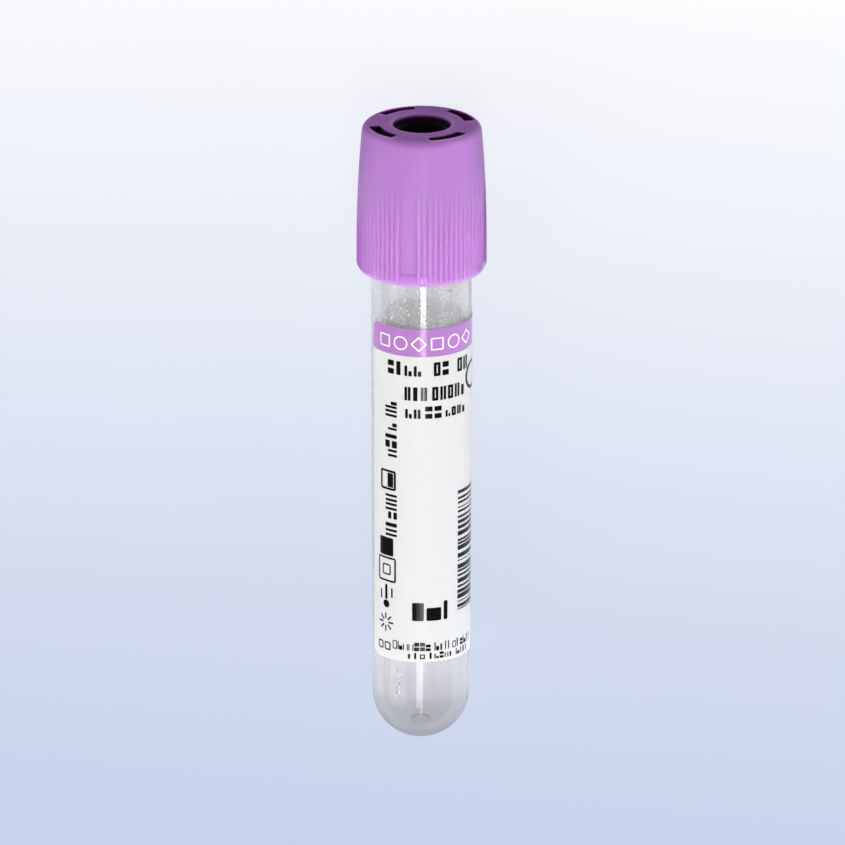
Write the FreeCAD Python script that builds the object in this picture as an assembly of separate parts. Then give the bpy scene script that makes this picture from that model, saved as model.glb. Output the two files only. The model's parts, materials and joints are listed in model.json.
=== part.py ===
import FreeCAD, Part
import math
import os
from FreeCAD import Placement, Rotation, Vector

# Evacuated blood collection tube with its push-on safety closure.
# Four pieces: a clear moulded tube, the label wrapped round it, a rubber
# stopper that plugs its mouth, and a ribbed plastic cap that holds the stopper.
#
# Every piece is drawn upright about the Z axis, with the outside of the round
# bottom at height 0, and is then laid down on its side as one.
# Round the axis, angle 0 faces -Y, which becomes the top side once it is laid.
# Lengths are millimetres and angles are degrees.

# Tube
TUBE_LENGTH = 75.0
TUBE_RIM_RADIUS = 6.5
TUBE_DRAFT = 0.264
TUBE_WALL = 1.05
TUBE_BOTTOM_WALL = 1.35
TUBE_RIM_ROUND = 0.35
GATE_RADIUS = 1.45
GATE_RECESS_HEIGHT = 0.38
GATE_STUB_RADIUS = 0.5
GATE_STUB_HEIGHT = 0.22

# Label
LABEL_BOTTOM_HEIGHT = 12.1
LABEL_WIDTH = 45.0
LABEL_THICKNESS = 0.1
LABEL_GAP = 0.01
LABEL_START_ANGLE = -60.5
LABEL_SWEEP = 313.0
LABEL_CORNER_RADIUS = 1.2

# Cap, outside
CAP_TOP_ABOVE_RIM = 7.65
CAP_LENGTH = 19.45
CAP_WALL = 1.44
CAP_STRAIGHT_LENGTH = 3.3
CAP_BULGE_RADIUS = 177.0
CAP_TOP_ROUND = 1.1
CAP_BOTTOM_ROUND = 1.1

# Cap, ribbed grip
RIB_DEPTH = 0.29
RIB_RADIUS = 0.28
RIB_PITCH = 5.0
RIBS_PER_GROUP = 15
RIB_GROUPS = 4
RIB_END_ABOVE_BOTTOM = 0.4
BASE_RING_HEIGHT = 1.45
BASE_RING_FADE = 0.45
BASE_RING_PROUD = 0.15
BASE_RING_ROUND = 0.75

# Cap, inside
SKIRT_CLEARANCE = 0.35
SKIRT_DRAFT = 0.3
CAP_TOP_THICKNESS = 1.1
NEEDLE_HOLE_RADIUS = 3.68
NEEDLE_HOLE_LIP = 0.35
SLOT_WIDTH = 1.5
SLOT_SWEEP = 48.5
SLOT_CORNER_RADIUS = 0.35
LUG_BOTTOM_ABOVE_RIM = 1.2
LUG_THICKNESS = 1.0
LUG_REACH = 0.85
LUG_LEAD_IN = 0.45
LUG_ROOT = 0.3

# Stopper
SEAT_GAP = 0.02
COLLAR_OVERLAP = 0.3
STOPPER_CLEARANCE = 0.06
LUG_CLEARANCE = 0.1
FLANGE_ROUND = 0.4
WELL_INSET = 0.43
WELL_DEPTH = 2.6
WELL_ROUND = 0.9
PLUG_LENGTH = 9.0
PLUG_RELIEF = 0.18
SEAL_CLEARANCE = 0.03
SEAL_LENGTH = 1.6
PLUG_TIP_CHAMFER = 0.6
POCKET_RADIUS = 3.3
POCKET_DEPTH = 4.4
POCKET_ROUND = 1.6

FULL_TURN = 360.0
RIGHT_ANGLE = 90.0
AXIS = Vector(0, 0, 1)
ORIGIN = Vector(0, 0, 0)

# How far a cutting block runs past the face that it cuts through.
OVERCUT = 1.0


# ---------------------------------------------------------------- geometry help
def tube_radius(height):
    """Outside radius of the tapered tube wall at a height."""
    fall = (TUBE_LENGTH - height) * math.tan(math.radians(TUBE_DRAFT))
    return TUBE_RIM_RADIUS - fall


def bore_radius(height):
    """Inside radius of the tube wall, parallel to the outside."""
    return tube_radius(height) - TUBE_WALL


def dome_radius(radius_at_pole):
    """Radius of a sphere whose pole is where the cone has the given radius.

    The sphere is centred on the axis and runs smoothly into the cone.
    """
    draft = math.radians(TUBE_DRAFT)
    return radius_at_pole * math.cos(draft) / (1.0 - math.sin(draft))


def dome_point(centre_height, radius, angle_below_level):
    """Point of a dome's outline, as (radius, height)."""
    angle = math.radians(angle_below_level)
    return radius * math.cos(angle), centre_height - radius * math.sin(angle)


def flat(point):
    """A (radius, height) pair as a point in the XZ plane."""
    return Vector(point[0], 0, point[1])


def lines(points):
    """Straight edges through (radius, height) points."""
    return [Part.makeLine(flat(a), flat(b)) for a, b in zip(points, points[1:])]


def arc(start, middle, end):
    """Arc edge through three (radius, height) points."""
    return Part.Arc(flat(start), flat(middle), flat(end)).toShape()


def revolved(edges, sweep=FULL_TURN):
    """Solid swept from a closed outline about the Z axis."""
    face = Part.Face(Part.Wire(edges))
    return face.revolve(ORIGIN, AXIS, sweep)


def disc(radius, bottom, top):
    """Plain round block on the axis."""
    return Part.makeCylinder(radius, top - bottom, Vector(0, 0, bottom))


def sector(inner_radius, outer_radius, bottom, top, middle_angle, sweep):
    """Block between two radii, centred on an angle measured from -Y."""
    outline = lines(
        [
            (inner_radius, bottom),
            (outer_radius, bottom),
            (outer_radius, top),
            (inner_radius, top),
            (inner_radius, bottom),
        ]
    )
    block = revolved(outline, sweep)
    block.rotate(ORIGIN, AXIS, middle_angle - sweep / 2.0 - RIGHT_ANGLE)
    return block


def edges_where(shape, test):
    """Edges of a shape whose middle point passes a test on (radius, height)."""
    found = []
    for edge in shape.Edges:
        middle = edge.valueAt((edge.FirstParameter + edge.LastParameter) / 2.0)
        if test(math.hypot(middle.x, middle.y), middle.z):
            found.append(edge)
    return found


def near(value, target, reach=0.01):
    """Whether a length is the wanted one."""
    return abs(value - target) < reach


def rounded(shape, size, edge_radius, edge_height):
    """Shape with the round edge at a radius and height rounded off."""
    edges = edges_where(
        shape,
        lambda radius, height: near(radius, edge_radius) and near(height, edge_height),
    )
    return shape.makeFillet(size, edges)


# ------------------------------------------------------------------------ tube
def make_tube():
    """Round-bottomed tube with a tapered wall and a gate mark at its pole."""
    outer = dome_radius(tube_radius(0.0))
    inner = dome_radius(bore_radius(TUBE_BOTTOM_WALL))
    inner_centre = TUBE_BOTTOM_WALL + inner
    gate_edge = math.sqrt(outer**2 - GATE_RADIUS**2)
    gate_angle = math.degrees(math.asin(gate_edge / outer))
    outer_tangent = dome_point(outer, outer, TUBE_DRAFT)
    inner_tangent = dome_point(inner_centre, inner, TUBE_DRAFT)
    halfway = (TUBE_DRAFT + gate_angle) / 2.0
    stub_height = GATE_RECESS_HEIGHT - GATE_STUB_HEIGHT
    gate = [
        (0.0, TUBE_BOTTOM_WALL),
        (0.0, stub_height),
        (GATE_STUB_RADIUS, stub_height),
        (GATE_STUB_RADIUS, GATE_RECESS_HEIGHT),
        (GATE_RADIUS, GATE_RECESS_HEIGHT),
        (GATE_RADIUS, outer - gate_edge),
    ]
    wall = [
        outer_tangent,
        (TUBE_RIM_RADIUS, TUBE_LENGTH),
        (bore_radius(TUBE_LENGTH), TUBE_LENGTH),
        inner_tangent,
    ]
    outline = lines(gate)
    outline.append(arc(gate[-1], dome_point(outer, outer, halfway), outer_tangent))
    outline += lines(wall)
    outline.append(
        arc(inner_tangent, dome_point(inner_centre, inner, RIGHT_ANGLE / 2.0), gate[0])
    )
    tube = revolved(outline)
    rim = edges_where(tube, lambda radius, height: near(height, TUBE_LENGTH))
    return tube.makeFillet(TUBE_RIM_ROUND, rim)


# ----------------------------------------------------------------------- label
def make_label():
    """Film wrapped most of the way round, with rounded corners."""
    top = LABEL_BOTTOM_HEIGHT + LABEL_WIDTH
    inner = tube_radius(LABEL_BOTTOM_HEIGHT) + LABEL_GAP
    inner_top = tube_radius(top) + LABEL_GAP
    film = revolved(
        lines(
            [
                (inner, LABEL_BOTTOM_HEIGHT),
                (inner + LABEL_THICKNESS, LABEL_BOTTOM_HEIGHT),
                (inner_top + LABEL_THICKNESS, top),
                (inner_top, top),
                (inner, LABEL_BOTTOM_HEIGHT),
            ]
        )
    )
    inside = inner - OVERCUT
    outside = inner_top + LABEL_THICKNESS + OVERCUT
    corner_angle = math.degrees(LABEL_CORNER_RADIUS / inner_top)
    low = LABEL_BOTTOM_HEIGHT + LABEL_CORNER_RADIUS
    high = top - LABEL_CORNER_RADIUS
    middle = LABEL_START_ANGLE + LABEL_SWEEP / 2.0
    tall_sweep = LABEL_SWEEP - 2.0 * corner_angle
    outline = sector(inside, outside, low, high, middle, LABEL_SWEEP)
    tall = sector(inside, outside, LABEL_BOTTOM_HEIGHT, top, middle, tall_sweep)
    corners = []
    for side in (-1.0, 1.0):
        angle = middle + side * tall_sweep / 2.0 - RIGHT_ANGLE
        outward = Rotation(AXIS, angle).multVec(Vector(1, 0, 0))
        for height in (low, high):
            corners.append(
                Part.makeCylinder(
                    LABEL_CORNER_RADIUS, outside, Vector(0, 0, height), outward
                )
            )
    outline = outline.fuse([tall] + corners)
    return film.common(outline).removeSplitter()


# ------------------------------------------------------------------------- cap
CAP_TOP = TUBE_LENGTH + CAP_TOP_ABOVE_RIM
CAP_BOTTOM = CAP_TOP - CAP_LENGTH
LUG_BOTTOM = TUBE_LENGTH + LUG_BOTTOM_ABOVE_RIM
LUG_TOP = LUG_BOTTOM + LUG_THICKNESS
SKIRT_RADIUS = TUBE_RIM_RADIUS + SKIRT_CLEARANCE
CAP_RADIUS = SKIRT_RADIUS + CAP_WALL
LUG_RADIUS = SKIRT_RADIUS - LUG_REACH
GROUP_ANGLE = FULL_TURN / RIB_GROUPS


def crest_radius(height):
    """Radius of the cap's bulged outside at a height."""
    above = max(0.0, height - (CAP_BOTTOM + CAP_STRAIGHT_LENGTH))
    return CAP_RADIUS - CAP_BULGE_RADIUS + math.sqrt(CAP_BULGE_RADIUS**2 - above**2)


def make_crest_form():
    """Solid of the cap's bulged outer form, rounded at its foot and its top edge."""
    shoulder = CAP_BOTTOM + CAP_STRAIGHT_LENGTH
    halfway = (shoulder + CAP_TOP) / 2.0
    top_edge = (crest_radius(CAP_TOP), CAP_TOP)
    outline = lines(
        [
            (0.0, CAP_TOP),
            (0.0, CAP_BOTTOM),
            (CAP_RADIUS, CAP_BOTTOM),
            (CAP_RADIUS, shoulder),
        ]
    )
    outline.append(
        arc((CAP_RADIUS, shoulder), (crest_radius(halfway), halfway), top_edge)
    )
    outline += lines([top_edge, (0.0, CAP_TOP)])
    form = rounded(revolved(outline), CAP_BOTTOM_ROUND, CAP_RADIUS, CAP_BOTTOM)
    return rounded(form, CAP_TOP_ROUND, *top_edge)


def make_ribs():
    """Half-round grip ribs, in groups with a smooth panel between them.

    They run up to where the bulged outside has come in to the grip's floor, so
    they fade out into it there. Below, the rounding of the same outside takes
    them down into the base ring.
    """
    centre_radius = CAP_RADIUS - RIB_RADIUS
    bottom = CAP_BOTTOM + RIB_END_ABOVE_BOTTOM
    fade = math.sqrt(CAP_BULGE_RADIUS**2 - (CAP_BULGE_RADIUS - RIB_DEPTH) ** 2)
    top = CAP_BOTTOM + CAP_STRAIGHT_LENGTH + fade + RIB_RADIUS
    bar = Part.makeCylinder(RIB_RADIUS, top - bottom, Vector(0, -centre_radius, bottom))
    ribs = []
    for group in range(RIB_GROUPS):
        for number in range(RIBS_PER_GROUP):
            from_middle = number - (RIBS_PER_GROUP - 1) / 2.0
            angle = (group + 0.5) * GROUP_ANGLE + from_middle * RIB_PITCH
            rib = bar.copy()
            rib.rotate(ORIGIN, AXIS, angle)
            ribs.append(rib)
    return Part.Compound(ribs)


def make_slot(middle_angle):
    """Through slot in the cap's top, with rounded ends at its inner side."""
    slot = sector(
        SKIRT_RADIUS - SLOT_WIDTH,
        SKIRT_RADIUS,
        LUG_TOP,
        CAP_TOP + OVERCUT,
        middle_angle,
        SLOT_SWEEP,
    )
    tall = CAP_TOP + OVERCUT - LUG_TOP
    upright = [edge for edge in slot.Edges if near(edge.BoundBox.ZLength, tall)]
    return slot.makeFillet(SLOT_CORNER_RADIUS, upright)


def make_cavity():
    """Room inside the cap: a drafted skirt below and the flange's seat above."""
    mouth = SKIRT_RADIUS + (LUG_BOTTOM - CAP_BOTTOM) * math.tan(
        math.radians(SKIRT_DRAFT)
    )
    ceiling = CAP_TOP - CAP_TOP_THICKNESS
    return revolved(
        lines(
            [
                (0.0, CAP_BOTTOM - OVERCUT),
                (mouth, CAP_BOTTOM - OVERCUT),
                (mouth, CAP_BOTTOM),
                (SKIRT_RADIUS, LUG_BOTTOM),
                (SKIRT_RADIUS, ceiling),
                (0.0, ceiling),
                (0.0, CAP_BOTTOM - OVERCUT),
            ]
        )
    )


def make_lug(middle_angle):
    """Hook under a slot that holds the stopper's flange from below."""
    tip = LUG_TOP - LUG_LEAD_IN
    root = SKIRT_RADIUS + LUG_ROOT
    lug = revolved(
        lines(
            [
                (root, LUG_BOTTOM),
                (LUG_RADIUS + LUG_LEAD_IN, LUG_BOTTOM),
                (LUG_RADIUS, tip),
                (LUG_RADIUS, LUG_TOP),
                (root, LUG_TOP),
                (root, LUG_BOTTOM),
            ]
        ),
        SLOT_SWEEP,
    )
    lug.rotate(ORIGIN, AXIS, middle_angle - SLOT_SWEEP / 2.0 - RIGHT_ANGLE)
    return lug


def make_base_ring():
    """Foot of the cap, a little proud of the grip's floor and sloped down to it."""
    ring_radius = CAP_RADIUS - RIB_DEPTH + BASE_RING_PROUD
    ring_top = CAP_BOTTOM + BASE_RING_HEIGHT
    inside = ring_radius - 2.0 * BASE_RING_PROUD
    inside_top = ring_top + 2.0 * BASE_RING_FADE
    block = revolved(
        lines(
            [
                (0.0, CAP_BOTTOM),
                (ring_radius, CAP_BOTTOM),
                (ring_radius, ring_top),
                (inside, inside_top),
                (0.0, inside_top),
                (0.0, CAP_BOTTOM),
            ]
        )
    )
    return rounded(block, BASE_RING_ROUND, ring_radius, CAP_BOTTOM)


def make_cap():
    """Ribbed shield with a needle hole, four slots and four lugs under them."""
    crest = make_crest_form()
    grip_bottom = CAP_BOTTOM + BASE_RING_HEIGHT
    grip_floor = disc(CAP_RADIUS - RIB_DEPTH, grip_bottom, CAP_TOP)
    body = crest.common(grip_floor).fuse(make_base_ring())
    body = body.fuse(make_ribs().common(crest)).removeSplitter()
    body = body.cut(make_cavity())
    body = body.cut(disc(NEEDLE_HOLE_RADIUS, LUG_TOP, CAP_TOP + OVERCUT))
    body = rounded(body, NEEDLE_HOLE_LIP, NEEDLE_HOLE_RADIUS, CAP_TOP)
    for group in range(RIB_GROUPS):
        middle = (group + 0.5) * GROUP_ANGLE
        body = body.cut(make_slot(middle)).fuse(make_lug(middle))
    return body.removeSplitter()


# --------------------------------------------------------------------- stopper
def off_bore(height, clearance):
    """Point of the plug's outline, clear of the tube's bore."""
    return bore_radius(height) - clearance, height


def make_stopper():
    """Rubber stopper: flange and groove in the cap, collar on the rim, plug."""
    seat = TUBE_LENGTH + SEAT_GAP
    flange_radius = SKIRT_RADIUS - STOPPER_CLEARANCE
    flange_top = CAP_TOP - CAP_TOP_THICKNESS - STOPPER_CLEARANCE
    flange_bottom = LUG_TOP + LUG_CLEARANCE
    groove_radius = LUG_RADIUS - LUG_CLEARANCE
    groove_bottom = LUG_BOTTOM - LUG_CLEARANCE
    collar_radius = LUG_RADIUS + COLLAR_OVERLAP
    well_radius = NEEDLE_HOLE_RADIUS - WELL_INSET
    plug_bottom = TUBE_LENGTH - PLUG_LENGTH
    seal_top = TUBE_LENGTH - SEAL_LENGTH
    low_seal_top = plug_bottom + PLUG_TIP_CHAMFER + SEAL_LENGTH

    tip_height = plug_bottom + PLUG_TIP_CHAMFER
    tip_radius = bore_radius(plug_bottom) - SEAL_CLEARANCE - PLUG_TIP_CHAMFER
    outline = lines(
        [
            (0.0, flange_top - WELL_DEPTH),
            (0.0, plug_bottom + POCKET_DEPTH),
            (POCKET_RADIUS, plug_bottom + POCKET_DEPTH),
            (POCKET_RADIUS, plug_bottom),
            (tip_radius, plug_bottom),
            off_bore(tip_height, SEAL_CLEARANCE),
            off_bore(low_seal_top, SEAL_CLEARANCE),
            off_bore(low_seal_top + PLUG_RELIEF, PLUG_RELIEF),
            off_bore(seal_top - PLUG_RELIEF, PLUG_RELIEF),
            off_bore(seal_top, SEAL_CLEARANCE),
            off_bore(seat, SEAL_CLEARANCE),
            (collar_radius, seat),
            (collar_radius, groove_bottom),
            (groove_radius, groove_bottom),
            (groove_radius, flange_bottom),
            (flange_radius, flange_bottom),
            (flange_radius, flange_top),
            (well_radius, flange_top),
            (well_radius, flange_top - WELL_DEPTH),
            (0.0, flange_top - WELL_DEPTH),
        ]
    )
    stopper = revolved(outline)
    stopper = rounded(stopper, FLANGE_ROUND, flange_radius, flange_top)
    stopper = rounded(stopper, WELL_ROUND, well_radius, flange_top - WELL_DEPTH)
    return rounded(stopper, POCKET_ROUND, POCKET_RADIUS, plug_bottom + POCKET_DEPTH)


# --------------------------------------------------------- laying it on its side
def resting_tilt():
    """Angle of the axis above level when cap and round bottom both touch down.

    The tube rests on its dome and on the two ribs beside a smooth panel, at the
    height where the ribs start to round off at the cap's foot.
    """
    dome = dome_radius(tube_radius(0.0))
    rib_angle = math.radians((GROUP_ANGLE - (RIBS_PER_GROUP - 1) * RIB_PITCH) / 2.0)
    rib_foot = (CAP_RADIUS - RIB_RADIUS) * math.cos(rib_angle) + RIB_RADIUS
    rise = rib_foot
    run = CAP_BOTTOM + CAP_BOTTOM_ROUND - dome
    reach = math.hypot(rise, run)
    return math.degrees(math.atan2(rise, run) - math.asin(dome / reach))


def laid_down(solids):
    """Lay the solids down, axis along +Y, and centre them over the origin."""
    turn = Placement(ORIGIN, Rotation(Vector(1, 0, 0), resting_tilt() - RIGHT_ANGLE))
    laid = {}
    for name, solid in solids.items():
        copy = solid.copy()
        copy.Placement = turn.multiply(copy.Placement)
        laid[name] = copy
    box = Part.Compound(list(laid.values())).optimalBoundingBox(False)
    shift = Vector(0, -(box.YMin + box.YMax) / 2.0, -box.ZMin)
    for solid in laid.values():
        solid.translate(shift)
    return laid


def main():
    solids = {
        "tube": make_tube(),
        "label": make_label(),
        "stopper": make_stopper(),
        "cap": make_cap(),
    }
    os.makedirs("parts", exist_ok=True)
    for name, solid in laid_down(solids).items():
        if len(solid.Solids) != 1 or not solid.isValid():
            raise ValueError(name + " is not one valid solid")
        solid.Solids[0].exportStep("parts/" + name + ".step")
        print(name, "volume", round(solid.Volume, 2), "mm3")


main()
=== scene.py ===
# %% [markdown]
# # A blood collection tube lying on a pale table
#
# The solid pieces come from CAD: a clear moulded tube, the label wrapped round it, a black rubber
# stopper and a ribbed lavender cap. This notebook gives them their finishes and adds what is too
# fine for CAD: the printed label, and the spray-dried additive on the inside of the tube.

import json
import math
import random

import bmesh
import bpy
from mathutils import Matrix, Vector


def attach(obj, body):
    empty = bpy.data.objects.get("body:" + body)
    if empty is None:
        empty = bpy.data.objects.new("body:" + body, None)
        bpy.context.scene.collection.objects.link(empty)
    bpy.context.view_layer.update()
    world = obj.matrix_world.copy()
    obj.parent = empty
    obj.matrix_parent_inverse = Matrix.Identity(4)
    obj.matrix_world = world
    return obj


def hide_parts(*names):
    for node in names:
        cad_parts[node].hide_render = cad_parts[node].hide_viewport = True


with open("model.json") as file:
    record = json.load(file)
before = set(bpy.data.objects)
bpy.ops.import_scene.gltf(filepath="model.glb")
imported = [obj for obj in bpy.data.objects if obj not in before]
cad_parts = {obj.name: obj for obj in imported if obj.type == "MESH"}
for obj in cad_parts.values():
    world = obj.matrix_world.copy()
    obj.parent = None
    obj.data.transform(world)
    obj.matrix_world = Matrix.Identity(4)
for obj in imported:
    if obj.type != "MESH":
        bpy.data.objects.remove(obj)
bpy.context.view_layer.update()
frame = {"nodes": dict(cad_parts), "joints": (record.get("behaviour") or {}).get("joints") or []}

# %% [markdown]
# ## Finding one's way round a tube
#
# The tube lies on its side, its axis a little higher at the cap than at the round bottom. Every
# place on it is easiest to give as a height along the axis, an angle round it and a distance from
# it. The joints know the axis, and the cap's joint sits at the middle of the tube's rim, so the
# rest follows from the tube's own length.

# %% Axis and places
MM = 0.001
TUBE_LENGTH = 75.0 * MM
RIM_RADIUS = 6.5 * MM
DRAFT = math.radians(0.264)
WALL = 1.05 * MM

joints = {joint["name"]: joint for joint in frame["joints"]}
AXIS = Vector(joints["closure_pull"]["axis"]).normalized()
RIM = Vector(joints["cap_turn"]["pos_m"])
POLE = RIM - AXIS * TUBE_LENGTH
SIDE = Vector((1.0, 0.0, 0.0))
UP = SIDE.cross(AXIS)


def outward(angle):
    """Direction away from the axis. Angle 0 is up, and positive angles turn towards +X."""
    return UP * math.cos(angle) + SIDE * math.sin(angle)


def place(height, angle, radius):
    """Point at a height above the tube's bottom, an angle round the axis and a distance off it."""
    return POLE + AXIS * height + outward(angle) * radius


def outer_radius(height):
    """Radius of the tapered tube's outside at a height."""
    return RIM_RADIUS - (TUBE_LENGTH - height) * math.tan(DRAFT)


print("axis", [round(value, 4) for value in AXIS], "bottom", [round(value, 5) for value in POLE])

# %% [markdown]
# ## Camera
#
# A long lens from far away keeps the tube's sides nearly parallel, so that its sizes can be
# compared anywhere along it. The camera looks at the cap's end from a low angle, so the top of the
# cap shows, and it stands a little to the right of straight above, so the clear strip in the label
# shows at the left.

# %% Camera
VIEW_TURN = math.radians(12.45)
VIEW_RISE = math.radians(19.8)
VIEW_DISTANCE = 3.0
AIM_HEIGHT = 42.26 * MM
LENS_LENGTH = 1003.0
SIDE_STEP = 0.15 * MM
ROLL = math.radians(0.1)

toward_viewer = outward(VIEW_TURN) * math.cos(VIEW_RISE) + AXIS * math.sin(VIEW_RISE)
view_up = AXIS * math.cos(VIEW_RISE) - outward(VIEW_TURN) * math.sin(VIEW_RISE)
view_right = view_up.cross(toward_viewer)
aim = POLE + AXIS * AIM_HEIGHT + view_right * SIDE_STEP

camera_data = bpy.data.cameras.new("camera")
camera_data.lens = LENS_LENGTH
camera_data.clip_start = 0.1
camera_data.clip_end = 50.0
camera = bpy.data.objects.new("camera", camera_data)
bpy.context.scene.collection.objects.link(camera)
turn = Matrix((view_right, view_up, toward_viewer)).transposed().to_4x4()
camera.matrix_world = (
    Matrix.Translation(aim + toward_viewer * VIEW_DISTANCE) @ turn @ Matrix.Rotation(ROLL, 4, "Z")
)
bpy.context.scene.camera = camera
print("camera at", [round(value, 3) for value in camera.matrix_world.translation])

# %% [markdown]
# ## Shader maths as plain expressions
#
# A material is a small graph of nodes. Writing the graph by hand hides the idea behind it, so a
# socket is wrapped in a class that understands +, - and *: `0.3 + spots * 0.1` then adds the Math
# nodes itself. A second class holds the material and has one method that adds any node.


# %% Sockets that can be added and multiplied
class Value:
    """A number that varies over a surface: the output socket of a shader node."""

    def __init__(self, finish, socket):
        self.finish = finish
        self.socket = socket

    def math(self, operation, first, second):
        return self.finish.add("ShaderNodeMath", {0: first, 1: second}, operation=operation)

    def __add__(self, other):
        return self.math("ADD", self, other)

    def __sub__(self, other):
        return self.math("SUBTRACT", self, other)

    def __rsub__(self, other):
        return self.math("SUBTRACT", other, self)

    def __mul__(self, other):
        return self.math("MULTIPLY", self, other)

    __radd__ = __add__
    __rmul__ = __mul__


class Finish:
    """A material, or the world, under construction."""

    def __init__(self, name, owner=None):
        self.owner = owner or bpy.data.materials.new(name)
        self.owner.use_nodes = True
        self.tree = self.owner.node_tree
        self.tree.nodes.clear()

    def add(self, kind, sockets=None, output=0, stops=None, **settings):
        """Adds a node: first its settings, then the values or links of its sockets."""
        node = self.tree.nodes.new(kind)
        for name, setting in settings.items():
            setattr(node, name, setting)
        for index, (position, colour) in enumerate(stops or []):
            ramp = node.color_ramp.elements
            stop = ramp[index] if index < 2 else ramp.new(position)
            stop.position = position
            stop.color = (*colour, 1.0)
        for name, value in (sockets or {}).items():
            if isinstance(value, Value):
                self.tree.links.new(value.socket, node.inputs[name])
            else:
                node.inputs[name].default_value = value
        return Value(self, node.outputs[output]) if node.outputs else None

    def coordinates(self):
        """Place on the piece, in metres, in the same frame as the CAD."""
        return self.add("ShaderNodeTexCoord", output="Object")

    def noise(self, scale, detail=2.0):
        """Soft random spots, `scale` of them to the metre."""
        sockets = {"Vector": self.coordinates(), "Scale": scale, "Detail": detail}
        return self.add("ShaderNodeTexNoise", sockets, output="Fac")

    def between(self, factor, first, second):
        """Colour that runs from the first to the second as the factor runs from 0 to 1."""
        colours = [c if isinstance(c, Value) else (*c, 1.0) for c in (first, second)]
        sockets = {"Factor": factor, "A": colours[0], "B": colours[1]}
        node = self.add("ShaderNodeMix", data_type="RGBA", output=2).socket.node
        for name, value in sockets.items():
            socket = [s for s in node.inputs if s.name == name and s.enabled][0]
            if isinstance(value, Value):
                self.tree.links.new(value.socket, socket)
            else:
                socket.default_value = value
        return Value(self, node.outputs[2])

    def times(self, first, second):
        """Two colours multiplied."""
        sockets = {0: first, 1: second}
        return self.add("ShaderNodeVectorMath", sockets, operation="MULTIPLY")

    def from_pole(self):
        """Place as seen from the middle of the tube's round bottom."""
        sockets = {0: self.coordinates(), 1: POLE}
        return self.add("ShaderNodeVectorMath", sockets, operation="SUBTRACT")

    def height(self):
        """Height above the tube's bottom, along its axis."""
        sockets = {0: self.from_pole(), 1: AXIS}
        return self.add("ShaderNodeVectorMath", sockets, output="Value", operation="DOT_PRODUCT")

    def radius(self):
        """Distance from the axis."""
        sockets = {0: self.from_pole(), 1: AXIS}
        across = self.add("ShaderNodeVectorMath", sockets, operation="CROSS_PRODUCT")
        return self.add("ShaderNodeVectorMath", {0: across}, output="Value", operation="LENGTH")

    def outward(self):
        """Direction away from the axis, level with the place."""
        sockets = {0: self.from_pole(), 1: AXIS}
        round_it = self.add("ShaderNodeVectorMath", sockets, operation="CROSS_PRODUCT")
        out = self.add("ShaderNodeVectorMath", {0: AXIS, 1: round_it}, operation="CROSS_PRODUCT")
        return self.add("ShaderNodeVectorMath", {0: out}, operation="NORMALIZE")

    def towards(self, direction):
        """1 where the piece faces this way from the axis, 0 a quarter turn from there."""
        sockets = {0: self.outward(), 1: direction}
        return self.add("ShaderNodeVectorMath", sockets, output="Value", operation="DOT_PRODUCT")

    def ramp(self, value, start, end):
        """0 before the start, 1 past the end and smooth between them."""
        sockets = {"Value": value, 1: start, 2: end}
        return self.add("ShaderNodeMapRange", sockets, interpolation_type="SMOOTHSTEP")

    def bump(self, height, distance, strength=1.0):
        """Surface relief of a real depth in metres."""
        sockets = {"Height": height, "Distance": distance, "Strength": strength}
        return self.add("ShaderNodeBump", sockets)

    def mix(self, share, first, second):
        """Two shaders in one, with this share of the second."""
        return self.add("ShaderNodeMixShader", {0: share, 1: first, 2: second})

    def surface(self, shader):
        """The finished material, with this shader on its surface."""
        self.add("ShaderNodeOutputMaterial", {"Surface": shader})
        print(self.owner.name, "is made of", len(self.tree.nodes), "nodes")
        return self.owner


def linear(red, green, blue):
    """Colour as it looks on a screen, 0 to 255, turned into amounts of light."""
    shares = [value / 255.0 for value in (red, green, blue)]
    return tuple(s / 12.92 if s <= 0.04045 else ((s + 0.055) / 1.055) ** 2.4 for s in shares)


# %% [markdown]
# ## Lavender cap
#
# The cap is moulded in polyethylene: coloured through, satin from its mould and glossy only at its
# foot. The CAD piece already has every rib and slot, so it needs a finish and no shape. Light goes
# a little way into such plastic, which subsurface scattering gives. Faint clouds keep the colour
# alive, and a fine grain takes the edge off the gloss.
#
# Four tints then change the colour, and all four are painted light and shade rather than
# colours of the plastic. A painted shade deepens the colour where the cap is seen edge-on: this
# one goes with the view, so an exported model doesn't have it. The other three go with the place.
# A painted shade darkens the upper part of the side a little. A painted shade darkens the slots
# and the needle hole with depth, where little light finds its way in. A painted light brightens
# the grooves between the ribs with depth, where the thin ribs pass light on. Each tint is a mask
# between white, which changes nothing, and the tint's own colour.

# %% Painted shade on the cap
WHITE = (1.0, 1.0, 1.0)
CAP_BOTTOM = 63.2 * MM
CAP_TOP = 82.65 * MM
# Colour of the painted shade where the cap is seen edge-on.
PAINTED_EDGE_SHADE = (0.5, 0.41, 0.57)
# Colour of the painted shade down the slots and the needle hole.
PAINTED_DEPTH_SHADE = (0.13, 0.035, 0.14)
SLOTS_REACH = 6.95 * MM
HOLE_REACH = 4.2 * MM


def painted_edge_shade(finish, on_top):
    """Painted shade: darker where the cap is seen edge-on, round its side and over its top face.
    """
    outwards = {"Blend": 0.5, "Normal": finish.outward()}
    round_it = finish.add("ShaderNodeLayerWeight", outwards, output="Facing")
    round_it = finish.ramp(round_it, 0.2, 0.95)
    over_it = finish.add("ShaderNodeLayerWeight", {"Blend": 0.5}, output="Facing")
    return finish.between(round_it + on_top * (over_it - round_it), WHITE, PAINTED_EDGE_SHADE)


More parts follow.
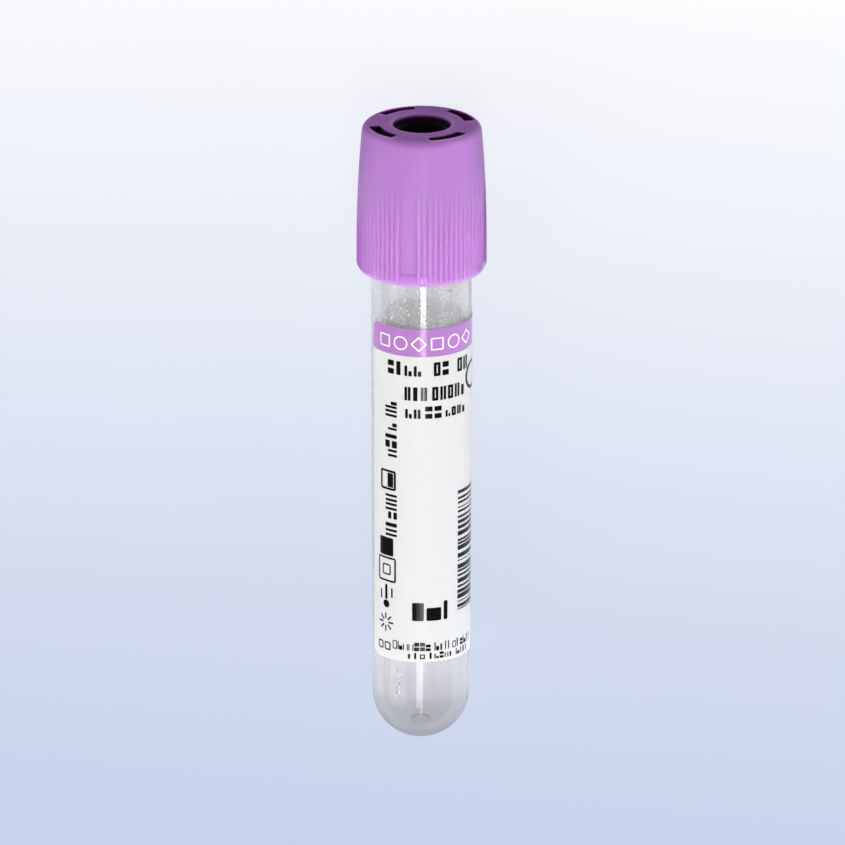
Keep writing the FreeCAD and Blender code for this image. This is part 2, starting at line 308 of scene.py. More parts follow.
def painted_depth_shade(finish, height, radius, in_hole):
    """Painted shade: darker colour down the slots, and more slowly down the needle hole."""
    in_openings = finish.ramp(radius, SLOTS_REACH + 0.04 * MM, SLOTS_REACH)
    down_slot = finish.ramp(height, CAP_TOP - 0.04 * MM, CAP_TOP - 0.32 * MM)
    down_hole = finish.ramp(height, CAP_TOP - 0.15 * MM, CAP_TOP - 0.6 * MM)
    depth = down_slot + in_hole * (down_hole - down_slot)
    return finish.between(depth * in_openings, WHITE, PAINTED_DEPTH_SHADE)


print("cap from", round(CAP_BOTTOM / MM, 2), "to", round(CAP_TOP / MM, 2), "mm up the axis")

# %% Painted light in the grooves
# Colour of the painted light in the grooves between the ribs.
PAINTED_GROOVE_LIGHT = (1.24, 1.32, 1.24)
GROOVE_DEPTH = 0.2 * MM
CREST_RADIUS = 8.29 * MM
BULGE_RADIUS = 177.0 * MM
BULGE_START = CAP_BOTTOM + 3.3 * MM


def painted_groove_light(finish, height, radius):
    """Painted light: lighter below the rib crests, but not on the smooth panels between them."""
    turn = finish.towards(outward(0.0))
    turn = turn * turn
    # The cosine of four times the angle, which is 1 in the middle of each of the four panels.
    four_turns = turn * (turn + (-1.0)) * 8.0 + 1.0
    ribbed = finish.ramp(four_turns, 0.84, 0.74)
    ribbed = ribbed * finish.ramp(height, CAP_BOTTOM + 0.6 * MM, CAP_BOTTOM + 2.5 * MM)
    ribbed = ribbed * finish.ramp(radius, 7.6 * MM, 7.8 * MM)
    above = height.math("MAXIMUM", height - BULGE_START, 0.0)
    crest = CREST_RADIUS - above * above * (0.5 / BULGE_RADIUS)
    groove = finish.ramp(crest - radius, 0.0, GROOVE_DEPTH) * ribbed
    return finish.between(groove, WHITE, PAINTED_GROOVE_LIGHT)


print("crests lie", round(CREST_RADIUS / MM, 2), "mm from the axis")

# %% Lavender plastic
LAVENDER = linear(199, 143, 216)
# Colour and heights of the painted shade over the upper part of the cap's side.
PAINTED_UPPER_SHADE = (0.93, 0.93, 0.95)
UPPER_START = 71.0 * MM
UPPER_END = 79.0 * MM
POLISH_TOP = CAP_BOTTOM + 1.3 * MM


def lavender_plastic():
    finish = Finish("lavender_plastic")
    height = finish.height()
    radius = finish.radius()
    on_top = finish.ramp(height, CAP_TOP - 0.5 * MM, CAP_TOP - 0.02 * MM)
    in_hole = finish.ramp(radius, HOLE_REACH + 0.1 * MM, HOLE_REACH)
    at_foot = finish.ramp(height, POLISH_TOP + 0.2 * MM, POLISH_TOP)
    clouds = finish.noise(160.0)
    grain = finish.noise(9000.0, detail=3.0)

    plain = finish.between(clouds, [c * 0.97 for c in LAVENDER], [c * 1.03 for c in LAVENDER])
    # Painted shade: a little darker over the upper part of the side, and darker where seen
    # edge-on.
    painted_upper_shade = finish.between(finish.ramp(height, UPPER_START, UPPER_END), WHITE, PAINTED_UPPER_SHADE)
    plain = finish.times(finish.times(plain, painted_upper_shade), painted_edge_shade(finish, on_top))
    # Painted shade: darker down the slots and the needle hole.
    painted_deep_shade = painted_depth_shade(finish, height, radius, in_hole)
    # Painted light: lighter down the grooves between the ribs.
    pale_crust_and_painted_light = painted_groove_light(finish, height, radius)
    shader = finish.add(
        "ShaderNodeBsdfPrincipled",
        {
            "Base Color": finish.times(plain, finish.times(painted_deep_shade, pale_crust_and_painted_light)),
            "Roughness": 0.4 + grain * 0.08 + on_top * 0.3,
            "Normal": finish.bump(grain, 0.001 * MM),
            "IOR": 1.5,
            "Specular IOR Level": 0.33,
            "Coat Weight": at_foot * 0.8 + in_hole * 0.25,
            "Coat Roughness": 0.09,
            "Subsurface Weight": 1.0,
            "Subsurface Radius": (1.0, 0.6, 1.0),
            "Subsurface Scale": 2.0 * MM,
        },
    )
    return finish.surface(shader)


def dress(node, material):
    """Gives a CAD piece its finish."""
    piece = frame["nodes"][node]
    piece.data.materials.clear()
    piece.data.materials.append(material)
    print(node, "wears", material.name)


dress("cap", lavender_plastic())

# %% [markdown]
# ## Rubber stopper
#
# The stopper is moulded in halobutyl rubber, which is black and dull, with a slight bloom where
# the rubber has been handled. Only its top shows, down the needle hole, so a dark colour that
# varies a little is all it takes.


# %% Black rubber
def black_rubber():
    finish = Finish("black_rubber")
    bloom = finish.noise(700.0, detail=4.0)
    shader = finish.add(
        "ShaderNodeBsdfPrincipled",
        {
            "Base Color": finish.between(bloom, (0.004, 0.004, 0.005), (0.01, 0.01, 0.012)),
            "Roughness": 0.5 + bloom * 0.2,
            "IOR": 1.45,
        },
    )
    return finish.surface(shader)


dress("stopper", black_rubber())

# %% [markdown]
# ## Clear tube
#
# The tube is clear but not crystal: the moulded plastic has a slight haze, which greys what is
# seen through it and keeps its edges light. So its surface is mostly a bending, transmitting one,
# with a share of a cloudy one that scatters light both ways. The round bottom is thicker and
# cloudier than the wall, and the core pin of the mould has left a fine ring inside it. Both come
# from Mix Shader nodes between fixed colours. Lamp light has to pass through the tube to reach the
# label's back and the table, so for shadow rays it is simply transparent.

# %% Where the tube is cloudy and marked
ROUND_TOP = 7.5 * MM
ROUND_START = 13.0 * MM
ROUND_MIDDLE = 5.5 * MM
ROUND_END = 0.5 * MM
PIN_RADIUS = 1.15 * MM
PIN_LINE = 0.1 * MM
PIN_BOTTOM = 1.2 * MM
PIN_TOP = 1.8 * MM


def round_bottom(finish, height):
    """0 on the straight wall, and up to 1 at the middle of the round bottom, in three steps."""
    return (
        finish.ramp(height, ROUND_START, ROUND_TOP) * 0.2
        + finish.ramp(height, ROUND_TOP, ROUND_MIDDLE) * 0.4
        + finish.ramp(height, ROUND_MIDDLE, ROUND_END) * 0.4
    )


def pin_mark(finish, height):
    """1 on the core pin's fine ring on the inside of the bottom, and 0 elsewhere."""
    radius = finish.radius()
    ring = finish.ramp(radius, PIN_RADIUS + 2.0 * PIN_LINE, PIN_RADIUS + PIN_LINE)
    ring = ring * finish.ramp(radius, PIN_RADIUS - 2.0 * PIN_LINE, PIN_RADIUS - PIN_LINE)
    ring = ring * finish.ramp(height, PIN_TOP, PIN_TOP - 0.1 * MM)
    return ring * finish.ramp(height, PIN_BOTTOM, PIN_BOTTOM + 0.1 * MM)


print("pin mark", round(2.0 * PIN_RADIUS / MM, 2), "mm across")

# %% Clear plastic
CLEAR_TINT = (0.96, 0.95, 0.94)
PIN_TINT = (0.01, 0.01, 0.01)
HAZE = 0.265
HAZE_AT_BOTTOM = 0.36
HAZE_TINT = (0.77, 0.76, 0.78)
# The haze at the round bottom is a darker grey, so the round bottom shows darker.
HAZE_TINT_AT_BOTTOM = (0.34, 0.34, 0.35)
LAMP_LIGHT_THROUGH = (0.92, 0.92, 0.92)


def cloudy(finish, tint):
    """Plastic that scatters light, half of it forwards and half back."""
    back = finish.add("ShaderNodeBsdfDiffuse", {"Color": (*tint, 1.0)})
    forwards = finish.add("ShaderNodeBsdfTranslucent", {"Color": (*tint, 1.0)})
    return finish.mix(0.5, back, forwards)


def clear_plastic():
    finish = Finish("clear_plastic")
    waves = finish.noise(260.0)
    height = finish.height()
    in_round = round_bottom(finish, height)
    mark = pin_mark(finish, height)
    clear = finish.add(
        "ShaderNodeBsdfPrincipled",
        {
            "Base Color": finish.between(mark, CLEAR_TINT, PIN_TINT),
            "Roughness": 0.04,
            "IOR": 1.57,
            "Transmission Weight": 1.0,
            "Normal": finish.bump(waves * (0.15 + in_round), 0.03 * MM, 0.5),
        },
    )
    cloud = finish.mix(in_round, cloudy(finish, HAZE_TINT), cloudy(finish, HAZE_TINT_AT_BOTTOM))
    cloud = finish.mix(mark, cloud, cloudy(finish, PIN_TINT))
    share = HAZE + in_round * (HAZE_AT_BOTTOM - HAZE) + mark * 0.5
    body = finish.mix(share, clear, cloud)
    lamp_ray = finish.add("ShaderNodeLightPath", output="Is Shadow Ray")
    see_through = finish.add("ShaderNodeBsdfTransparent", {"Color": (*LAMP_LIGHT_THROUGH, 1.0)})
    return finish.surface(finish.mix(lamp_ray, body, see_through))


dress("tube", clear_plastic())

# %% [markdown]
# ## Making flat things and wrapping them
#
# A label is cut and printed flat and then rolled on, and it is modelled the same way. Flat shapes
# lie in a plane: x runs round the tube from the label's left edge, y up from its bottom edge and z
# outwards. They are cut into narrow strips, so that they can bend, and each point is then moved to
# its place on the tapered tube. Ink has a thickness here too, a hundredth of a millimetre, so that
# the print is a crisp shape at any distance.

# %% Flat shapes
CORNER_STEPS = 4
DISC_SIDES = 28
LEAST_CORNER = 0.1


def round_corners(shape, corners, radius):
    """Rounds the flat shape at these points."""
    bmesh.ops.bevel(
        shape,
        geom=corners,
        affect="VERTICES",
        offset=radius,
        segments=CORNER_STEPS,
        profile=0.5,
        material=-1,
    )


def rectangle(left, bottom, right, top, corner=0.0, line=0.0):
    """Flat face with rounded corners, or only an outline of it where a line width is given."""
    shape = bmesh.new()
    outlines = [(0.0, corner)]
    if line:
        outlines.append((line, max(corner - line, LEAST_CORNER * line)))
    for inset, radius in outlines:
        corners = bmesh.ops.create_grid(shape, x_segments=1, y_segments=1, size=0.5)["verts"]
        size = (right - left - 2.0 * inset, top - bottom - 2.0 * inset, 1.0)
        middle = ((left + right) / 2.0, (bottom + top) / 2.0, 0.0)
        bmesh.ops.scale(shape, vec=size, verts=corners)
        bmesh.ops.translate(shape, vec=middle, verts=corners)
        if radius:
            round_corners(shape, corners, radius)
    if line:
        bmesh.ops.delete(shape, geom=shape.faces[:], context="FACES_ONLY")
        bmesh.ops.bridge_loops(shape, edges=shape.edges[:])
    return shape


def disc(centre_x, centre_y, radius, line=0.0):
    """Flat round face, or a ring where a line width is given."""
    shape = bmesh.new()
    bmesh.ops.create_circle(shape, cap_ends=True, segments=DISC_SIDES, radius=radius)
    bmesh.ops.translate(shape, vec=(centre_x, centre_y, 0.0), verts=shape.verts)
    if line:
        inner = shape.faces[:]
        bmesh.ops.inset_region(shape, faces=inner, thickness=line, use_boundary=True)
        bmesh.ops.delete(shape, geom=inner, context="FACES")
    return shape


def turned(shape, angle, centre_x, centre_y):
    """The flat shape, turned about a point."""
    rotation = Matrix.Rotation(angle, 3, "Z")
    bmesh.ops.rotate(shape, cent=(centre_x, centre_y, 0.0), matrix=rotation, verts=shape.verts)
    return shape


print("a rounded corner has", CORNER_STEPS, "sides and a disc has", DISC_SIDES)

# %% Rolling flat shapes round the tube
LABEL_BOTTOM = 12.0 * MM
LABEL_HEIGHT = 45.1 * MM
LABEL_GAP = 0.01 * MM
LABEL_START = math.radians(-58.0)
LABEL_SWEEP = math.radians(310.5)
ROLL_RADIUS = outer_radius(LABEL_BOTTOM + LABEL_HEIGHT / 2.0)
LABEL_LENGTH = LABEL_SWEEP * ROLL_RADIUS
STRIP = math.radians(2.5) * ROLL_RADIUS
CUT_SNAP = 0.004 * MM


def joined(shapes):
    """One flat sheet that holds all the shapes."""
    sheet = bmesh.new()
    part = bpy.data.meshes.new("part")
    for shape in shapes:
        shape.to_mesh(part)
        shape.free()
        sheet.from_mesh(part)
    bpy.data.meshes.remove(part)
    return sheet


def thicken(sheet, lift, thickness):
    """Raises the flat sheet off the label's underside and gives it a thickness."""
    bmesh.ops.translate(sheet, vec=(0.0, 0.0, lift), verts=sheet.verts)
    raised = bmesh.ops.extrude_face_region(sheet, geom=sheet.faces[:])["geom"]
    top = [item for item in raised if isinstance(item, bmesh.types.BMVert)]
    bmesh.ops.translate(sheet, vec=(0.0, 0.0, thickness), verts=top)


def roll(sheet):
    """Cuts the sheet into strips and rolls it round the tube."""
    for number in range(1, math.ceil(LABEL_LENGTH / STRIP)):
        everything = sheet.verts[:] + sheet.edges[:] + sheet.faces[:]
        cut_at = (number * STRIP, 0.0, 0.0)
        bmesh.ops.bisect_plane(
            sheet, geom=everything, dist=CUT_SNAP, plane_co=cut_at, plane_no=(1, 0, 0)
        )
    for vert in sheet.verts:
        height = LABEL_BOTTOM + vert.co.y
        angle = LABEL_START + vert.co.x / ROLL_RADIUS
        vert.co = place(height, angle, outer_radius(height) + LABEL_GAP + vert.co.z)
    bmesh.ops.recalc_face_normals(sheet, faces=sheet.faces[:])


print("flat label", round(LABEL_LENGTH / MM, 2), "x", round(LABEL_HEIGHT / MM, 2), "mm")


# %% Finished pieces
def new_piece(name, mesh, material):
    """Object of this shape and finish, in the scene."""
    data = bpy.data.meshes.new(name)
    mesh.to_mesh(data)
    mesh.free()
    data.materials.append(material)
    piece = bpy.data.objects.new(name, data)
    bpy.context.scene.collection.objects.link(piece)
    print(name, "has", len(data.polygons), "faces")
    return piece


def wrap(name, shapes, lift, thickness, material):
    """Thickens flat shapes, rolls them round the tube and makes them one piece."""
    sheet = joined(shapes)
    thicken(sheet, lift, thickness)
    roll(sheet)
    open_edges = [edge for edge in sheet.edges if not edge.is_manifold]
    print(name, "has", len(open_edges), "open edges")
    piece = new_piece(name, sheet, material)
    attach(piece, "tube")
    return piece


# %% [markdown]
# ## Label film
#
# The label is a thin white film. It lets some light through, so the inside of the tube glows
# softly where the film shuts it in, and its face has the faint gloss of coated film. It stands in
# for the CAD label, because a film this thin is easier to print on when it starts out flat.


# %% Label film
LABEL_THICKNESS = 0.06 * MM
LABEL_CORNER = 1.2 * MM
FILM_GLOW = 0.45


def label_film():
    finish = Finish("label_film")
    fibres = finish.noise(2500.0)
    colour = finish.between(fibres, linear(252, 252, 251), linear(255, 255, 254))
    face = finish.add(
        "ShaderNodeBsdfPrincipled",
        {
            "Base Color": colour,
            "Roughness": 0.42 + fibres * 0.1,
            "IOR": 1.45,
            "Specular IOR Level": 0.3,
        },
    )
    glow = finish.add("ShaderNodeBsdfTranslucent", {"Color": (0.9, 0.9, 0.89, 1.0)})
    return finish.surface(finish.mix(FILM_GLOW, face, glow))


film_outline = rectangle(0.0, 0.0, LABEL_LENGTH, LABEL_HEIGHT, LABEL_CORNER)
film = wrap("label_film", [film_outline], 0.0, LABEL_THICKNESS, label_film())
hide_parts("label")

# %% [markdown]
# ## Print
#
# Along the top runs a band in the closure's colour, so that tubes can be told apart in a rack.
# Below it come a few lines of marks, a column of marks that reads up the side, a few symbols and a
# ladder bar code, whose bars run round the tube. Every mark is a plain block, frame, disc or bar:
# they have the weight and rhythm of print and say nothing.

# %% Inks
INK = 0.008 * MM
BLEED = 0.02 * MM
BAND_BOTTOM = 41.4


def ink(name, colour, roughness, gloss=0.3):
    """Ink that is laid a little unevenly."""
    finish = Finish(name)
    density = finish.noise(1800.0, detail=3.0)
    shader = finish.add(
        "ShaderNodeBsdfPrincipled",
        {
            "Base Color": finish.between(density, [c * 0.94 for c in colour], colour),
            "Roughness": roughness + density * 0.08,
            "IOR": 1.45,
            "Specular IOR Level": gloss,
        },
    )
    return finish.surface(shader)


band_outline = rectangle(BLEED, BAND_BOTTOM * MM, LABEL_LENGTH - BLEED, LABEL_HEIGHT - BLEED)
top_corners = [vert for vert in band_outline.verts if vert.co.y > (BAND_BOTTOM + 1.0) * MM]
round_corners(band_outline, top_corners, LABEL_CORNER - BLEED)
wrap(
    "label_band",
    [band_outline],
    LABEL_THICKNESS - INK / 4.0,
    INK,
    ink("lavender_ink", linear(186, 129, 203), 0.1, gloss=0.5),
)

# %% White marks on the band
MARK_LIFT = LABEL_THICKNESS + INK / 2.0
PRINT_SHIFT = 0.28


def block(left, bottom, right, top, corner=0.18, line=0.0):
    """Rounded block, or frame, with its sizes in millimetres."""
    corner = min(corner, 0.45 * (right - left), 0.45 * (top - bottom))
    left, right = left - PRINT_SHIFT, right - PRINT_SHIFT
    return rectangle(left * MM, bottom * MM, right * MM, top * MM, corner * MM, line * MM)


def dot(across, up, radius, line=0.0):
    """Disc, or ring, with its sizes in millimetres."""
    return disc((across - PRINT_SHIFT) * MM, up * MM, radius * MM, line * MM)


HEADING_LEFT = 3.0
HEADING_MIDDLE = 43.1
HEADING_PITCH = 2.35
HEADING_LINE = 0.2
RING_SIZE = 0.95
SQUARE_SIZE = 0.85
DIAMOND_SIZE = 0.75


def square(across, up, size):
    """Square frame round a point, with its sizes in millimetres."""
    return block(across - size, up - size, across + size, up + size, 0.15, HEADING_LINE)


heading = []
for number in range(6):
    across = HEADING_LEFT + number * HEADING_PITCH
    if number % 3 == 0:
        heading.append(square(across, HEADING_MIDDLE, SQUARE_SIZE))
    elif number % 3 == 1:
        heading.append(dot(across, HEADING_MIDDLE, RING_SIZE, HEADING_LINE))
    else:
        diamond = square(across, HEADING_MIDDLE, DIAMOND_SIZE)
        middle = (across - PRINT_SHIFT) * MM
        heading.append(turned(diamond, math.pi / 4.0, middle, HEADING_MIDDLE * MM))
wrap("heading_marks", heading, MARK_LIFT, INK, ink("white_ink", (0.93, 0.93, 0.93), 0.25))

# %% [markdown]
# ## Marks in black
#
# A line of print is a row of marks that share a base and a height. Each mark is drawn by lot from
# five kinds, so that a line has the uneven texture of print. The dice get a fixed seed, so they
# fall the same way each time.

# %% One mark and one line of them
dice = random.Random(1375)
MARK_GAP = 0.75
MARK_CORNER = 0.3
MARK_HEIGHTS = (1.0, 1.0, 1.0, 0.76)


def mark(width, tall, stroke):
    """The boxes of one mark, each with its left, bottom, right, top and line width."""
    kind = dice.randrange(5)
    if kind == 0:
        return [(0.0, 0.0, width, tall, stroke)]
    if kind == 1:
        return [(0.0, 0.0, stroke, tall, 0.0), (width - stroke, 0.0, width, tall, 0.0)]
    if kind == 2:
        return [(0.0, 0.0, stroke, tall, 0.0), (1.4 * stroke, 0.0, width, 0.5 * tall, 0.0)]
    if kind == 3:
        middle = 0.5 * (tall - stroke)
        return [(0.0, 0.0, width, middle, 0.0), (0.0, middle + stroke, width, tall, 0.0)]
    return [(0.1 * width, 0.0, 0.1 * width + 1.6 * stroke, tall, 0.0)]


def word(left, right, base, tall, count, stroke, upright=True):
    """A row of marks that fills a width. An upright row runs round the tube."""
    pitch = (right - left) / count
    boxes = []
    for number in range(count):
        start = left + number * pitch
        size = tall * dice.choice(MARK_HEIGHTS)
        for x0, y0, x1, y1, line in mark(pitch - MARK_GAP * stroke, size, stroke):
            if upright:
                corners = (start + x0, base + y0, start + x1, base + y1)
            else:
                corners = (base - y1, start + x0, base - y0, start + x1)
            boxes.append(block(*corners, MARK_CORNER * stroke, line))
    return boxes


print("height of a line of marks varies by", MARK_HEIGHTS)

# %% Lines of marks
# Each line: its left and right end, its base, its height, how many marks, and their stroke.
UPPER_LINES = [
    (3.5, 8.3, 38.75, 1.85, 4, 0.36),
    (9.6, 11.9, 38.75, 1.85, 2, 0.36),
    (13.0, 15.3, 38.75, 1.85, 2, 0.36),
    (5.9, 9.0, 35.45, 1.85, 3, 0.34),
    (9.4, 14.7, 35.45, 1.85, 5, 0.34),
    (6.0, 8.2, 33.05, 1.65, 2, 0.34),
    (8.5, 10.9, 33.05, 1.65, 2, 0.34),
    (11.2, 14.8, 33.05, 1.2, 4, 0.3),
]
COLUMN_LINES = [
    (27.5, 32.3, 4.85, 1.8, 4, 0.32),
    (32.9, 35.2, 4.85, 1.8, 2, 0.32),
    (16.7, 22.6, 4.85, 1.8, 5, 0.32),
]
LOWER_LINES = [
    (4.2, 9.4, 1.5, 1.15, 7, 0.13),
    (9.8, 12.0, 1.5, 1.15, 3, 0.15),
    (12.4, 16.6, 1.5, 1.15, 6, 0.13),
    (6.3, 8.7, 0.42, 0.85, 3, 0.17),
    (9.1, 12.6, 0.42, 0.85, 5, 0.17),
    (13.0, 15.4, 0.42, 0.85, 3, 0.17),
]
black_marks = []
for line in UPPER_LINES:
    black_marks += word(*line)
for line in COLUMN_LINES:
    black_marks += word(*line, upright=False)
for line in LOWER_LINES:
    black_marks += word(*line)
print("boxes in the lines:", len(black_marks))

# %% Symbols
# Each block: its left, bottom, right and top, the radius of its corners, and its line if a frame.
BLOCKS = [
    (6.9, 5.6, 8.4, 8.05, 0.18, 0.0),
    (8.75, 5.6, 10.7, 7.35, 0.18, 0.0),
    (11.05, 5.6, 11.6, 8.15, 0.18, 0.0),
    (2.2, 22.9, 4.7, 25.6, 0.3, 0.3),
    (3.4, 23.3, 4.3, 25.2, 0.1, 0.0),
    (1.7, 10.4, 4.7, 13.75, 0.3, 0.25),
    (2.5, 11.3, 3.9, 12.8, 0.3, 0.2),
    (2.0, 13.95, 4.3, 16.4, 0.2, 0.0),
    (2.95, 7.95, 3.35, 10.0, 0.2, 0.0),
    (2.1, 7.9, 2.35, 9.2, 0.1, 0.0),
    (3.95, 8.3, 4.2, 9.6, 0.1, 0.0),
    (1.6, 1.1, 2.6, 2.2, 0.2, 0.18),
    (2.85, 1.1, 3.85, 2.2, 0.2, 0.18),
]
BURST_X = 3.05
BURST_Y = 4.85
BURST_RAYS = 8

for box in BLOCKS:
    black_marks.append(block(*box))
black_marks.append(dot(3.15, 7.35, 0.52))
black_marks.append(dot(16.6, 37.5, 1.95, line=0.44))
for number in range(BURST_RAYS):
    ray = block(BURST_X - 0.11, BURST_Y + 0.45, BURST_X + 0.11, BURST_Y + 1.25, 0.08)
    middle = (BURST_X - PRINT_SHIFT) * MM
    black_marks.append(turned(ray, number * math.tau / BURST_RAYS, middle, BURST_Y * MM))
print("boxes and symbols:", len(black_marks))

# %% Ladder bar code
CODE_LEFT = 13.25
CODE_RIGHT = 22.2
CODE_BOTTOM = 6.4
CODE_TOP = 22.3
BAR_UNIT = 0.15
level = CODE_BOTTOM
bars = 0
while level < CODE_TOP:
    bar = BAR_UNIT * dice.choice((1, 1, 2, 2, 3, 4))
    black_marks.append(block(CODE_LEFT, level, CODE_RIGHT, level + bar, 0.0))
    level += bar + BAR_UNIT * dice.choice((1, 1, 2, 2, 3))
    bars += 1
print("bars in the code:", bars)
wrap("black_marks", black_marks, MARK_LIFT, INK, ink("black_ink", (0.004, 0.004, 0.005), 0.1))

# %% [markdown]
# ## Dried additive
#
# The inside wall near the cap is sprayed with additive, which dries into tiny drops, partly
# glassy and partly a white crust. A few have run down the wall near the bottom. Each one is a low
# ball pressed flat against the wall. A bump in the wall's material would vanish from the side, and
# there are two thousand of them, so each is real but has only forty faces.


# %% Dried crust
def dried_crust():
    finish = Finish("dried_additive")
    crust = finish.noise(2500.0)
    pale_crust_and_painted_light = finish.ramp(crust, 0.38, 0.6)
    shader = finish.add(
        "ShaderNodeBsdfPrincipled",
        {
            "Base Color": finish.between(pale_crust_and_painted_light, (0.16, 0.16, 0.16), (0.84, 0.84, 0.85)),
            "Roughness": 0.25 + crust * 0.2,
            "IOR": 1.5,
        },
    )
    return finish.surface(shader)


# %% Where the drops dried
DROPS = 2100
DROP_SMALLEST = 0.04 * MM
DROP_LARGEST = 0.13 * MM
DROP_STRETCH = 2.2
SPRAY_BOTTOM = 51.0 * MM
SPRAY_TOP = 65.3 * MM
STREAKS = 14
STREAK_SPREAD = 0.3
SHARE_BETWEEN_STREAKS = 0.45
RUNS = 9
RUN_ANGLE = math.radians(-20.0)
RUN_SPREAD = 0.05
RUN_BOTTOM = 6.8 * MM
RUN_TOP = 10.5 * MM
RUN_RADIUS = 0.06 * MM


def drop_places():
    """Height, angle, radius and half length of each drop, in loose streaks along the tube."""
    streaks = [dice.uniform(0.0, 2.0 * math.pi) for _ in range(STREAKS)]
    places = []
    for _ in range(DROPS):
        size = DROP_SMALLEST + (DROP_LARGEST - DROP_SMALLEST) * dice.random() ** 4
        angle = dice.choice(streaks) + dice.gauss(0.0, STREAK_SPREAD)
        if dice.random() < SHARE_BETWEEN_STREAKS:
            angle = dice.uniform(0.0, 2.0 * math.pi)
        height = dice.uniform(SPRAY_BOTTOM, SPRAY_TOP)
        places.append((height, angle, size, size * dice.uniform(1.0, DROP_STRETCH)))
    for _ in range(RUNS):
        angle = RUN_ANGLE + dice.gauss(0.0, RUN_SPREAD)
        height = dice.uniform(RUN_BOTTOM, RUN_TOP)
        places.append((height, angle, RUN_RADIUS, dice.uniform(0.4, 1.1) * MM))
    return places


places = drop_places()
print("drops and runs:", len(places))

# %% Drops on the wall
DROP_FLATNESS = 0.5


def make_drops():
    ball = bmesh.new()
    bmesh.ops.create_uvsphere(ball, u_segments=8, v_segments=5, radius=1.0)
    for face in ball.faces:
        face.smooth = True
    drops = bmesh.new()
    part = bpy.data.meshes.new("part")
    for height, angle, radius, half_length in places:
        out = outward(angle)
        depth = radius * DROP_FLATNESS
        shape = Matrix((AXIS.cross(out) * radius, AXIS * half_length, out * depth)).transposed()
        centre = place(height, angle, outer_radius(height) - WALL - depth / 2.0)
        drop = ball.copy()
        drop.transform(Matrix.Translation(centre) @ shape.to_4x4())
        drop.to_mesh(part)
        drop.free()
        drops.from_mesh(part)
    ball.free()
    bpy.data.meshes.remove(part)
    return new_piece("dried_additive", drops, dried_crust())


additive = make_drops()
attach(additive, "tube")

# %% [markdown]
# ## Table and light
#
# The table is pale, nearly white beyond the cap and a cool blue beyond the round bottom. Most of
# what the camera sees of it, straight, in gloss or through the clear tube, is its own colour at
# full strength. The rest is lit as any surface is, so the tube's shadow stays, but soft.

# %% Table
TABLE_STOPS = [
    (0.0, linear(199, 209, 234)),
    (0.25, linear(208, 217, 237)),
    (0.5, linear(223, 229, 243)),
    (0.75, linear(238, 241, 249)),
    (1.0, linear(252, 252, 254)),
]
TABLE_SIZE = 3.0
GRADIENT_LENGTH = 0.116
SHADOW_SHARE = 0.1
LIT_COLOUR = 0.98


def seen_directly(finish):
    """1 for what the camera sees, straight, in gloss or through the tube, and 0 for light."""
    straight = finish.add("ShaderNodeLightPath", output="Is Camera Ray")
    in_gloss = finish.add("ShaderNodeLightPath", output="Is Glossy Ray")
    through = finish.add("ShaderNodeLightPath", output="Is Transmission Ray")
    return straight.math("MAXIMUM", straight, straight.math("MAXIMUM", in_gloss, through))


def table_top():
    finish = Finish("table_top")
    mapped = finish.add(
        "ShaderNodeMapping",
        {
            "Vector": finish.coordinates(),
            "Location": (0.0, 0.5, 0.0),
            "Scale": (1.0, 1.0 / GRADIENT_LENGTH, 1.0),
        },
    )
    split = finish.add("ShaderNodeSeparateXYZ", {0: mapped}, output="Y")
    colour = finish.add("ShaderNodeValToRGB", {0: split}, stops=TABLE_STOPS)
    lit = finish.add("ShaderNodeBsdfDiffuse", {"Color": finish.times(colour, (LIT_COLOUR,) * 3)})
    plain = finish.add("ShaderNodeEmission", {"Color": colour, "Strength": 1.0})
    share = seen_directly(finish) * (1.0 - SHADOW_SHARE)
    return finish.surface(finish.mix(share, lit, plain))


table_mesh = bmesh.new()
bmesh.ops.create_grid(table_mesh, x_segments=1, y_segments=1, size=TABLE_SIZE / 2.0)
table = new_piece("table", table_mesh, table_top())

# %% [markdown]
# ## Lamps
#
# All the lamps stand on the round bottom's side, so that the top of the cap stays the darkest of
# its faces. Three wide ones light the piece from the front and both sides. They are kept out of
# gloss, and the right one out of the clear plastic too, so that they draw no shapes of their own.
# Four small ones are there for their reflections, which together make one bright line along the
# tube. The surface leans a little differently at the middle, the lower end, the cap and the round
# bottom, so each of those has its own.


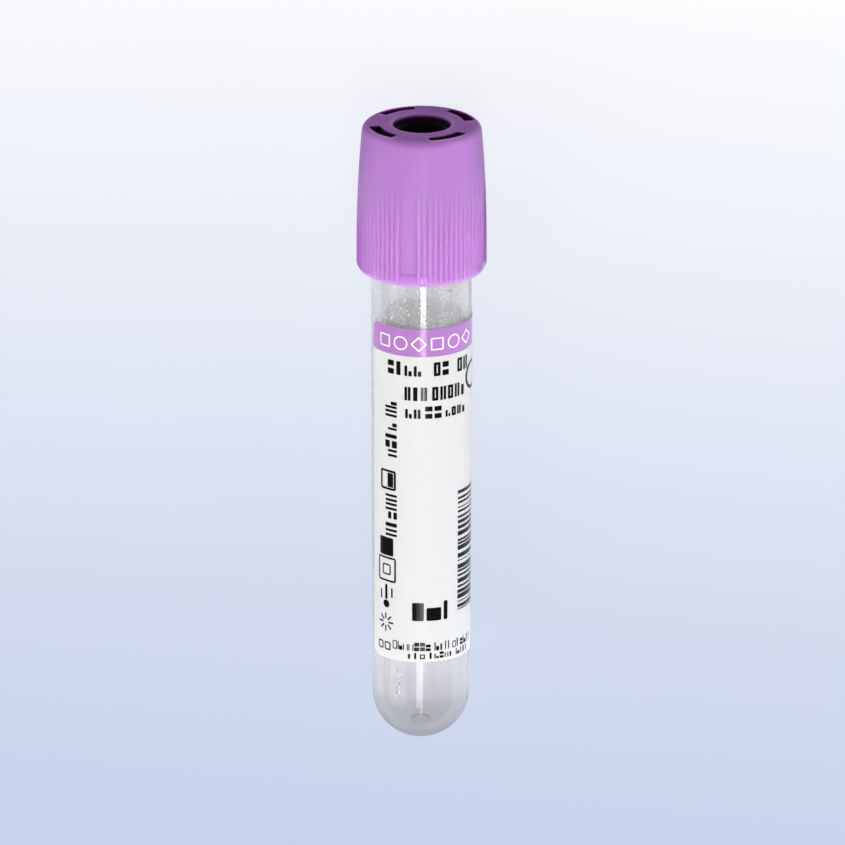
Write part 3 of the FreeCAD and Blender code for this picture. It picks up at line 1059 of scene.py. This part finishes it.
# %% Lamps
def softbox(name, turn_degrees, rise_degrees, distance, size, share, in_gloss=True, in_clear=True):
    """Flat lamp that faces the tube, at a turn round its axis and a rise towards the cap.

    Its size is across and along the tube. Its share is how bright it alone makes a white surface
    that faces it.
    """
    rise = math.radians(rise_degrees)
    back = outward(math.radians(turn_degrees)) * math.cos(rise) + AXIS * math.sin(rise)
    data = bpy.data.lights.new(name, "AREA")
    data.shape = "RECTANGLE"
    data.size, data.size_y = size
    data.energy = share * math.pi**2 * distance**2
    lamp = bpy.data.objects.new(name, data)
    bpy.context.scene.collection.objects.link(lamp)
    across = AXIS.cross(back).normalized()
    turn = Matrix((across, back.cross(across), back)).transposed().to_4x4()
    lamp.matrix_world = Matrix.Translation(POLE + AXIS * AIM_HEIGHT + back * distance) @ turn
    lamp.visible_glossy = in_gloss
    lamp.visible_transmission = in_clear
    print(name, round(data.energy, 2), "watts")


softbox("strip_lamp", 16.6, -18.7, 0.8, (0.17, 0.1), 0.085)
softbox("low_strip_lamp", 9.5, -27.0, 0.85, (0.22, 0.14), 0.058)
softbox("cap_strip_lamp", 15.0, -9.0, 0.8, (0.14, 0.16), 0.13)
softbox("foot_lamp", 13.5, -42.0, 0.8, (0.07, 0.3), 0.03)
softbox("front_lamp", 12.0, -6.0, 1.0, (0.9, 0.7), 0.29, in_gloss=False)
softbox("left_lamp", -52.0, -24.0, 1.0, (0.8, 0.8), 0.75, in_gloss=False)
softbox("right_lamp", 76.0, -24.0, 1.0, (0.6, 0.8), 0.74, in_gloss=False, in_clear=False)

# %% [markdown]
# ## Surroundings
#
# The room is pale all round. What the camera sees of it, straight or through the clear tube, is
# nearly white, but it adds only a little light, so that the lamps shape the piece.

# %% Surroundings
WORLD_COLOUR = (0.97, 0.98, 1.0)
WORLD_LIGHT = 0.16
WORLD_SEEN = 0.9

world = bpy.data.worlds.new("studio")
bpy.context.scene.world = world
room = Finish("studio", world)
through = room.add("ShaderNodeLightPath", output="Is Transmission Ray")
straight = room.add("ShaderNodeLightPath", output="Is Camera Ray")
seen = through.math("MAXIMUM", through, straight)
strength = WORLD_LIGHT + seen * (WORLD_SEEN - WORLD_LIGHT)
sky = room.add("ShaderNodeBackground", {"Color": (*WORLD_COLOUR, 1.0), "Strength": strength})
room.add("ShaderNodeOutputWorld", {"Surface": sky})
print("room gives", WORLD_LIGHT, "and is seen at", WORLD_SEEN)

bpy.context.scene.view_settings.view_transform = "Standard"
